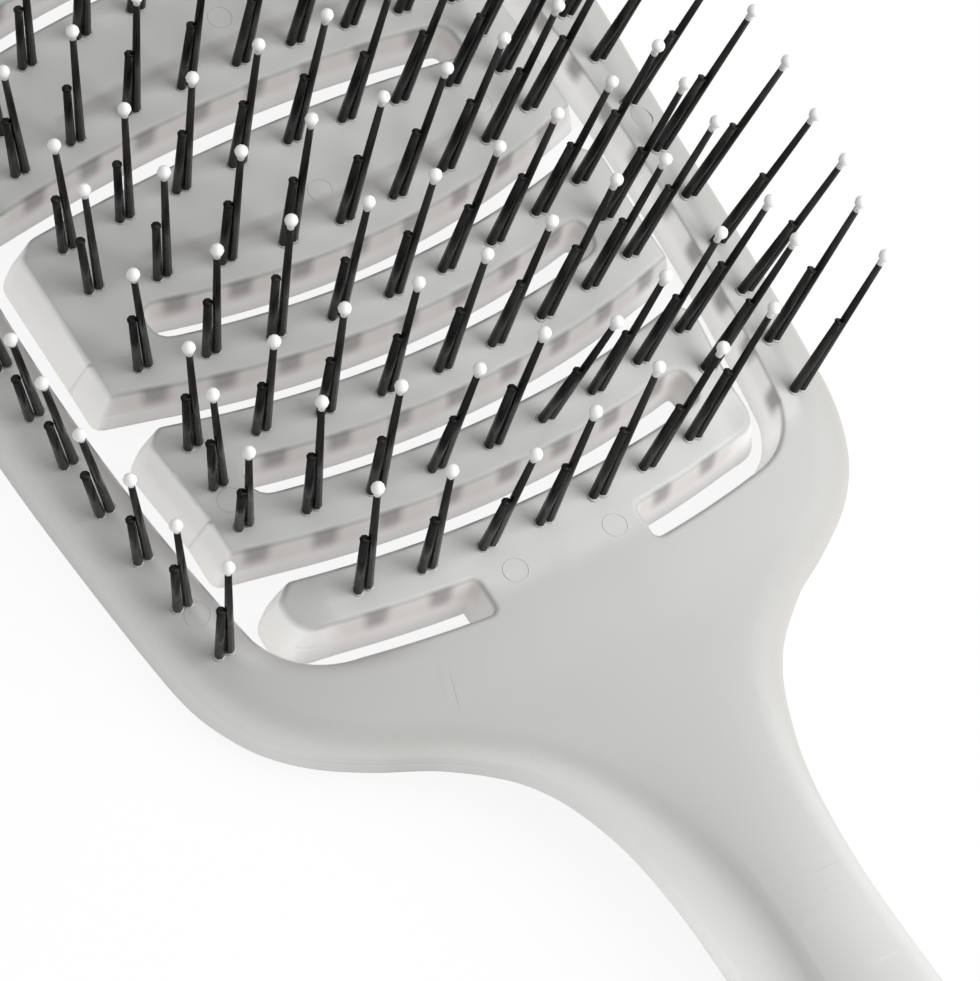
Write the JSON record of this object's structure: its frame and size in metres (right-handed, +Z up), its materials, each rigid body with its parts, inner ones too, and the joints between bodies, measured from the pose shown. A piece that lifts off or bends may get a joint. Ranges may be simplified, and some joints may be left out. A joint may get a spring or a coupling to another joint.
{
  "type": "vented paddle hair brush",
  "caption": "Vented paddle hair brush: a frosted two-shell frame with a winding, flexible pad of bars that carry twin pins, long ball-tipped and short.",
  "frame": {"origin": "on the ground under the middle of the brush: half way along it, half way across it", "axes": "+Y along the brush from handle to head, +Z up, the way the pins point, +X across"},
  "size_m": [0.0856, 0.24, 0.0316],
  "materials": {
    "front_frame": "frosted, translucent",
    "back_cover": "frosted, translucent",
    "bar_2_front": "frosted, translucent",
    "bar_3_front": "frosted, translucent",
    "bar_4_front": "frosted, translucent",
    "bar_5_front": "frosted, translucent",
    "bar_6_front": "frosted, translucent",
    "bar_7_front": "frosted, translucent",
    "bar_8_front": "frosted, translucent",
    "bar_2_back": "frosted, translucent",
    "bar_3_back": "frosted, translucent",
    "bar_4_back": "frosted, translucent",
    "bar_5_back": "frosted, translucent",
    "bar_6_back": "frosted, translucent",
    "bar_7_back": "frosted, translucent",
    "bar_8_back": "frosted, translucent",
    "bar_1_pins": "smooth, smoky",
    "bar_2_pins": "smooth, smoky",
    "bar_3_pins": "smooth, smoky",
    "bar_4_pins": "smooth, smoky",
    "bar_5_pins": "smooth, smoky",
    "bar_6_pins": "smooth, smoky",
    "bar_7_pins": "smooth, smoky",
    "bar_8_pins": "smooth, smoky",
    "bar_9_pins": "smooth, smoky",
    "left_rim_pins": "smooth, smoky",
    "right_rim_pins": "smooth, smoky"
  },
  "bodies": {
    "frame": {"front_frame": "front_frame", "back_cover": "back_cover", "bar_1_pins": "bar_1_pins", "bar_9_pins": "bar_9_pins", "left_rim_pins": "left_rim_pins", "right_rim_pins": "right_rim_pins"},
    "bar_2": {"bar_2_front": "bar_2_front", "bar_2_back": "bar_2_back", "bar_2_pins": "bar_2_pins"},
    "bar_3": {"bar_3_front": "bar_3_front", "bar_3_back": "bar_3_back", "bar_3_pins": "bar_3_pins"},
    "bar_4": {"bar_4_front": "bar_4_front", "bar_4_back": "bar_4_back", "bar_4_pins": "bar_4_pins"},
    "bar_5": {"bar_5_front": "bar_5_front", "bar_5_back": "bar_5_back", "bar_5_pins": "bar_5_pins"},
    "bar_6": {"bar_6_front": "bar_6_front", "bar_6_back": "bar_6_back", "bar_6_pins": "bar_6_pins"},
    "bar_7": {"bar_7_front": "bar_7_front", "bar_7_back": "bar_7_back", "bar_7_pins": "bar_7_pins"},
    "bar_8": {"bar_8_front": "bar_8_front", "bar_8_back": "bar_8_back", "bar_8_pins": "bar_8_pins"}
  },
  "joints": [
    {"name": "bar_2_give", "type": "slide", "parent": "frame", "child": "bar_2", "axis": [0, 0, 1], "range_m": [-0.0006, 0], "stiffness_N_per_m": 400},
    {"name": "bar_3_give", "type": "slide", "parent": "bar_2", "child": "bar_3", "axis": [0, 0, 1], "range_m": [-0.0006, 0]},
    {"name": "bar_4_give", "type": "slide", "parent": "bar_3", "child": "bar_4", "axis": [0, 0, 1], "range_m": [-0.0006, 0]},
    {"name": "bar_5_give", "type": "slide", "parent": "bar_4", "child": "bar_5", "axis": [0, 0, 1], "range_m": [-0.0006, 0]},
    {"name": "bar_6_give", "type": "slide", "parent": "bar_5", "child": "bar_6", "axis": [0, 0, 1], "range_m": [0, 0.0006]},
    {"name": "bar_7_give", "type": "slide", "parent": "bar_6", "child": "bar_7", "axis": [0, 0, 1], "range_m": [0, 0.0006]},
    {"name": "bar_8_give", "type": "slide", "parent": "bar_7", "child": "bar_8", "axis": [0, 0, 1], "range_m": [0, 0.0006]}
  ],
  "couplings": [
    {"joint": "bar_3_give", "follows": "bar_2_give", "ratio": 1},
    {"joint": "bar_4_give", "follows": "bar_2_give", "ratio": 1},
    {"joint": "bar_5_give", "follows": "bar_2_give", "ratio": 1},
    {"joint": "bar_6_give", "follows": "bar_2_give", "ratio": -1},
    {"joint": "bar_7_give", "follows": "bar_2_give", "ratio": -1},
    {"joint": "bar_8_give", "follows": "bar_2_give", "ratio": -1}
  ]
}
